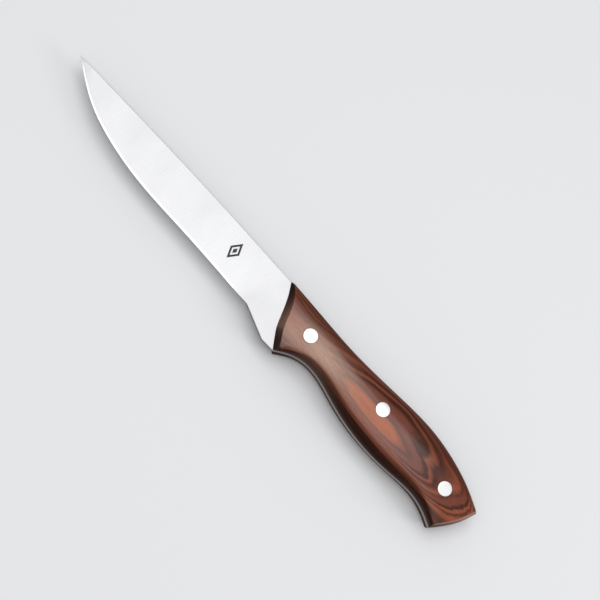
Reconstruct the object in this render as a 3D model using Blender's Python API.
"""Boning knife: a full-tang blade, two handle scales and three two-piece cutler's rivets.

The knife lies flat. +X runs from the tip of the blade to the butt of the handle, +Y towards the
spine, and +Z out of the blade's left side, so the blade's middle plane is z = 0. The origin is the
middle of the whole knife. Outlines are written in millimetres along the knife from the tip, and
across it from the line through the tip, and are moved to the origin as they are built.
"""

import math

import bmesh
import bpy
import numpy as np

MM = 0.001

# ---- driving dimensions, in millimetres ----
LENGTH = 278.0
CREST = 15.9                # highest point of the handle's back, above the tip
HEEL_DROP = -19.5           # lowest point of the heel, below the tip
TANG_HALF = 1.25            # half the thickness of the steel at the heel
TANG_RELIEF = 0.05          # how much lower each face of the tang is ground, to hold the glue
RELIEF_LEAD = 0.15          # how far in front of the scales that relief begins
RELIEF_RUN = 0.05           # length of the step down to it
TIP_HALF = 0.45             # half the thickness of the spine near the tip
POINT_FLARE = 0.06          # how fast the spine thickens with the blade's height at the point
GRIND_HALF = 0.16           # half the thickness left above the cutting bevel
EDGE_HALF = 0.04            # half the width of the cutting edge itself
BEVEL_RISE = 0.8            # height of the cutting bevel
PLUNGE_START = 127.0        # where the grind begins to run out into the flat heel
PLUNGE_END = 141.0
SCALE_LIFT = 0.05           # height of the scales' inner faces above the heel's flats

RIVETS = {"front": (166.4, -2.4), "middle": (213.3, 1.4), "rear": (259.2, 0.9)}
HEAD_R = 3.5
HEAD_DEPTH = 3.0
BARREL_R = 2.4
PIN_R = 1.6
RIVET_GAP = 0.05            # clearance all round a rivet in its holes
TANG_HOLE_R = 2.65
END_GAP = 0.3               # how far a barrel or a pin stops short of its seat

FRONT_BEVEL = 2.6           # how far the scale's front edge leans back over its full height
BUTT_BEVEL = 0.5            # the same at the butt, leaning forward
BEVEL_FADE = 8              # how quickly that lean dies out along the scale

# ---- outlines: distance from the tip, distance across ----
TOP_KNOTS = ((0, 0.05), (46, 3.6), (92, 6.6), (130, 8.4), (160, 9.4), (183, 10.0), (197, 11.4),
             (214, 13.8), (237, CREST), (254, 14.2), (267, 11.0), (LENGTH, 6.8))
BELLY_KNOTS = ((0, -0.15), (10, -5.7), (22, -11.0), (36, -14.5), (60, -16.8), (92, -15.6),
               (136.6, -14.2))
HEEL_KNOTS = ((136.6, -14.2), (153.4, HEEL_DROP), (160.4, -18.9))
GRIP_KNOTS = ((160.4, -18.9), (167, -13.9), (178, -10.4), (196, -12.7), (218, -14.8), (236, -13.2),
              (252.5, -11.1), (261, -12.4), (LENGTH, -20.0))
FRONT_KNOTS = ((-1, 160.4), (-0.72, 157.2), (-0.4, 153.7), (0.1, 149.6), (0.6, 145.6), (1, 141.8))
BUTT_KNOTS = ((-1, 268.2), (-0.4, 272.1), (0.3, 275.8), (1, LENGTH))
CROWN_KNOTS = ((140, 6.9), (166, 7.4), (192, 8.6), (215, 9.0), (240, 8.4), (260, 7.2), (LENGTH, 5.5))

# squareness of the scale's cross-section, towards the belly and towards the back: 2 is an ellipse
BELLY_SQUARE_KNOTS = ((140, 4.0), (175, 3.4), (215, 2.5), (245, 2.9), (262, 4.6), (LENGTH, 6.0))
BACK_SQUARE_KNOTS = ((140, 3.6), (175, 3.0), (215, 2.3), (245, 2.4), (262, 3.0), (LENGTH, 4.0))

BLADE_STATIONS = 46         # cross-sections along the knife
PLUNGE_STATIONS = 4
HEEL_SHARES = (0.25, 0.45, 0.85, 1)
GRIP_STATIONS = 40
BLADE_ROWS = 7              # rows of points from the edge to the spine
SCALE_ROWS = 20             # rows of points round a scale, belly to back
TURNED_STEPS = 32

STEEL = ("satin_steel", (0.74, 0.75, 0.76), 0.28, 1.0)
WOOD = ("laminated_wood", (0.24, 0.075, 0.045), 0.35, 0.0)
RIVET_STEEL = ("rivet_steel", (0.80, 0.80, 0.79), 0.22, 1.0)


# ---- curves ----
def smooth_line(knots):
    """A natural cubic spline through the knots, as a function of the first coordinate."""
    x, y = np.array(knots, float).T
    h = np.diff(x)
    slope = np.diff(y) / h
    system = np.eye(len(x))
    right = np.zeros(len(x))
    for i in range(1, len(x) - 1):
        system[i, i - 1:i + 2] = h[i - 1], 2 * (h[i - 1] + h[i]), h[i]
        right[i] = 6 * (slope[i] - slope[i - 1])
    bend = np.linalg.solve(system, right)

    def line(at):
        i = np.clip(np.searchsorted(x, at, side="right") - 1, 0, len(h) - 1)
        near, far = (x[i + 1] - at) / h[i], (at - x[i]) / h[i]
        curve = ((near**3 - near) * bend[i] + (far**3 - far) * bend[i + 1]) * h[i]**2 / 6
        return near * y[i] + far * y[i + 1] + curve

    return line


def straight_line(knots):
    x, y = np.array(knots, float).T
    return lambda at: np.interp(at, x, y)


def eased(start, end, count):
    """Numbers from start to end that lie closer together towards both ends."""
    share = 0.5 - 0.5 * np.cos(np.linspace(0, math.pi, count))
    return start + (end - start) * share


def smooth_step(x, start, end):
    t = np.clip((x - start) / (end - start), 0, 1)
    return t * t * (3 - 2 * t)


top_line = smooth_line(TOP_KNOTS)
belly_line = smooth_line(BELLY_KNOTS)
heel_line = straight_line(HEEL_KNOTS)
grip_line = smooth_line(GRIP_KNOTS)
front_line = smooth_line(FRONT_KNOTS)
butt_line = smooth_line(BUTT_KNOTS)
crown_line = smooth_line(CROWN_KNOTS)
belly_square = smooth_line(BELLY_SQUARE_KNOTS)
back_square = smooth_line(BACK_SQUARE_KNOTS)


def bottom_line(x):
    """The knife's lower outline: the belly, the heel, then the handle's grip."""
    if x <= HEEL_KNOTS[0][0]:
        return belly_line(x)
    if x <= GRIP_KNOTS[0][0]:
        return heel_line(x)
    return grip_line(x)


def across(x, side):
    """The place at side -1 (lower outline) to 1 (upper outline) at distance x."""
    low, high = bottom_line(x), top_line(x)
    return (low + high) / 2 + side * (high - low) / 2


def dome(x, side):
    """Share of the crown's height that the scale reaches: a superellipse, 1 along the middle."""
    square = back_square(x) if side > 0 else belly_square(x)
    return max(0.0, 1 - abs(side)**square)**(1 / square)


def scale_height(x, side):
    """Height of the scale's outer surface above the blade's middle plane."""
    base = TANG_HALF + SCALE_LIFT
    return base + (crown_line(x) - base) * dome(x, side)


def height_over(x, y):
    """Height of the scale's outer surface over a point of the handle."""
    low, high = bottom_line(x), top_line(x)
    return scale_height(x, (2 * y - low - high) / (high - low))


def placed(x, y, z):
    """A point in the knife's frame, in metres."""
    return (x - LENGTH / 2) * MM, (y - (CREST + HEEL_DROP) / 2) * MM, z * MM


# ---- building blocks ----
def material(name, colour, roughness, metallic):
    found = bpy.data.materials.get(name)
    if found:
        return found
    made = bpy.data.materials.new(name)
    made.use_nodes = True
    shader = made.node_tree.nodes["Principled BSDF"]
    shader.inputs["Base Color"].default_value = (*colour, 1)
    shader.inputs["Roughness"].default_value = roughness
    shader.inputs["Metallic"].default_value = metallic
    return made


def as_object(name, bm, look):
    bmesh.ops.recalc_face_normals(bm, faces=bm.faces)
    mesh = bpy.data.meshes.new(name)
    bm.to_mesh(mesh)
    bm.free()
    mesh.materials.append(material(*look))
    mesh.shade_smooth()
    mesh.set_sharp_from_angle(angle=math.radians(30))
    made = bpy.data.objects.new(name, mesh)
    bpy.context.collection.objects.link(made)
    return made


def skin(bm, rows):
    """Quads between neighbouring rows of vertices, leaving out corners that coincide."""
    for first, second in zip(rows, rows[1:]):
        for i in range(len(first) - 1):
            corners = dict.fromkeys((first[i], first[i + 1], second[i + 1], second[i]))
            if len(corners) > 2:
                bm.faces.new(corners)


def turned(name, profile, centre, look):
    """A solid of revolution about the line through centre along Z, from (radius, height) points."""
    bm = bmesh.new()
    x, y = centre
    points = [bm.verts.new(placed(x + radius, y, height)) for radius, height in profile]
    edges = [bm.edges.new(pair) for pair in zip(points, points[1:])]
    bmesh.ops.spin(bm, geom=edges, angle=2 * math.pi, steps=TURNED_STEPS, axis=(0, 0, 1),
                   cent=placed(x, y, 0), use_merge=True)
    bmesh.ops.remove_doubles(bm, verts=bm.verts, dist=1e-7)
    return as_object(name, bm, look)


def cut(target, cutter):
    cutter.hide_render = True
    cutter.display_type = "WIRE"
    hole = target.modifiers.new(cutter.name, "BOOLEAN")
    hole.operation = "DIFFERENCE"
    hole.object = cutter


# ---- the blade ----
def ground_row(x):
    """A cross-section of the ground blade: (distance, side, half thickness) from edge to spine."""
    height = top_line(x) - bottom_line(x)
    spine = TIP_HALF + (TANG_HALF - TIP_HALF) * x / PLUNGE_END
    spine = min(spine, GRIND_HALF + POINT_FLARE * height)
    flat = smooth_step(x, PLUNGE_START, PLUNGE_END)
    edge = EDGE_HALF + (spine - EDGE_HALF) * flat
    shoulder = GRIND_HALF + (spine - GRIND_HALF) * flat
    rises = [0.0, *np.linspace(min(BEVEL_RISE, 0.3 * height), height, BLADE_ROWS)]
    halves = [edge, *np.linspace(shoulder, spine, BLADE_ROWS)]
    return [(x, 2 * rise / height - 1, half) for rise, half in zip(rises, halves)]


def flat_row(start, end, share, half):
    """A row of constant thickness, part of the way from one line across the knife to another."""
    sides = np.linspace(-1, 1, BLADE_ROWS + 1)
    return [(start(side) + share * (end(side) - start(side)), side, half) for side in sides]


def plunge_end(side):
    """Where the heel's flat faces begin; they begin squarely, whatever the side."""
    return PLUNGE_END


def heel_end(side):
    """Where the heel's flat faces end, just in front of the scales."""
    return front_line(side) - RELIEF_LEAD


def tang_start(side):
    return heel_end(side) + RELIEF_RUN


def blade_rows():
    """Cross-sections from the tip to the butt, with one at every corner of the outline."""
    blade = eased(0, HEEL_KNOTS[0][0], BLADE_STATIONS)
    plunge = np.linspace(HEEL_KNOTS[0][0], PLUNGE_END, PLUNGE_STATIONS)[1:]
    rows = [ground_row(x) for x in (*blade, *plunge)]
    heel_corner = (HEEL_KNOTS[1][0] - PLUNGE_END) / (heel_end(-1) - PLUNGE_END)
    for share in sorted((*HEEL_SHARES, heel_corner)):
        rows.append(flat_row(plunge_end, heel_end, share, TANG_HALF))
    lip = (GRIP_KNOTS[0][0] - tang_start(-1)) / (butt_line(-1) - tang_start(-1))
    for share in (0, lip, *np.linspace(0, 1, GRIP_STATIONS)[1:]):
        rows.append(flat_row(tang_start, butt_line, share, TANG_HALF - TANG_RELIEF))
    return rows


def build_blade():
    bm = bmesh.new()
    rows = blade_rows()
    left, right = ([[bm.verts.new(placed(x, across(x, side), face * half)) for x, side, half in row]
                    for row in rows] for face in (1, -1))
    for side in (left, right):
        skin(bm, side)
    skin(bm, (left[0], right[0]))
    skin(bm, (left[-1], right[-1]))
    for end in (0, -1):
        skin(bm, ([row[end] for row in left], [row[end] for row in right]))
    blade = as_object("blade_and_tang", bm, STEEL)
    for name, centre in RIVETS.items():
        reach = 2 * TANG_HALF
        profile = ((0, -reach), (TANG_HOLE_R, -reach), (TANG_HOLE_R, reach), (0, reach))
        cut(blade, turned(f"{name}_tang_hole", profile, centre, STEEL))
    return blade


# ---- the handle scales ----
def scale_point(step, side, face, lift):
    """A point on a scale: step 0 is its front, 1 its butt, and lift 1 its outer surface."""
    straight = front_line(side) * (1 - step) + butt_line(side) * step
    base = TANG_HALF + SCALE_LIFT
    reach = FRONT_BEVEL * (1 - step)**BEVEL_FADE - BUTT_BEVEL * step**BEVEL_FADE
    lean = lift * dome(straight, side) * reach
    x = straight + lean
    z = base + lift * (scale_height(x, side) - base)
    return placed(x, across(straight, side), face * z)


def build_scale(name, face):
    bm = bmesh.new()
    sides = eased(-1, 1, SCALE_ROWS + 1)
    steps = eased(0, 1, GRIP_STATIONS)
    rows = [[bm.verts.new(scale_point(step, side, face, 1)) for side in sides] for step in steps]
    skin(bm, rows)
    feet = []
    for step, row in ((0, rows[0]), (1, rows[-1])):
        inner = [bm.verts.new(scale_point(step, side, face, 0)) for side in sides[1:-1]]
        foot = [row[0], *inner, row[-1]]
        skin(bm, (row, foot))
        feet.append(foot)
    belly = [row[0] for row in rows[1:-1]]
    back = [row[-1] for row in rows[1:-1]]
    bm.faces.new((*feet[0][::-1], *belly, *feet[1], *back[::-1]))
    scale = as_object(name, bm, WOOD)
    for rivet, centre in RIVETS.items():
        cut(scale, rivet_hole(f"{rivet}_{name}_hole", centre, face))
    return scale


# ---- the rivets ----
def head_seat(centre):
    """Height of the shoulder that a rivet's head bears on."""
    return height_over(*centre) - HEAD_DEPTH


def rivet_hole(name, centre, face):
    """A counterbore for a head and a through hole for the barrel."""
    seat = face * head_seat(centre)
    above = face * 3 * crown_line(centre[0])
    wide, narrow = HEAD_R + RIVET_GAP, BARREL_R + RIVET_GAP
    profile = ((0, 0), (narrow, 0), (narrow, seat), (wide, seat), (wide, above), (0, above))
    return turned(name, profile, centre, WOOD)


def grind_flush(rivet, face, seat):
    """Shape the outer end of a rivet's head to the handle's crowned surface."""
    for vertex in rivet.data.vertices:
        if face * vertex.co.z > (seat + HEAD_DEPTH / 2) * MM:
            x = vertex.co.x / MM + LENGTH / 2
            y = vertex.co.y / MM + (CREST + HEEL_DROP) / 2
            vertex.co.z = face * height_over(x, y) * MM


def build_rivet(name, centre):
    """A female half from the left side, and a male half whose pin fills it from the right side."""
    seat = head_seat(centre) + RIVET_GAP
    top = seat + HEAD_DEPTH
    bore = PIN_R + RIVET_GAP
    rim = ((HEAD_R, seat), (HEAD_R, top), (HEAD_R / 2, top), (0, top))
    barrel = ((0, seat), (bore, seat), (bore, -seat + END_GAP), (BARREL_R, -seat + END_GAP))
    female = turned(f"{name}_rivet_female", (*barrel, (BARREL_R, seat), *rim), centre, RIVET_STEEL)
    grind_flush(female, 1, seat)
    pin = ((0, seat - END_GAP), (PIN_R, seat - END_GAP), (PIN_R, -seat))
    head = [(radius, -height) for radius, height in rim]
    male = turned(f"{name}_rivet_male", (*pin, *head), centre, RIVET_STEEL)
    grind_flush(male, -1, seat)


def main():
    for old in list(bpy.data.objects):
        bpy.data.objects.remove(old)
    build_blade()
    build_scale("left_scale", 1)
    build_scale("right_scale", -1)
    for name, centre in RIVETS.items():
        build_rivet(name, centre)


main()
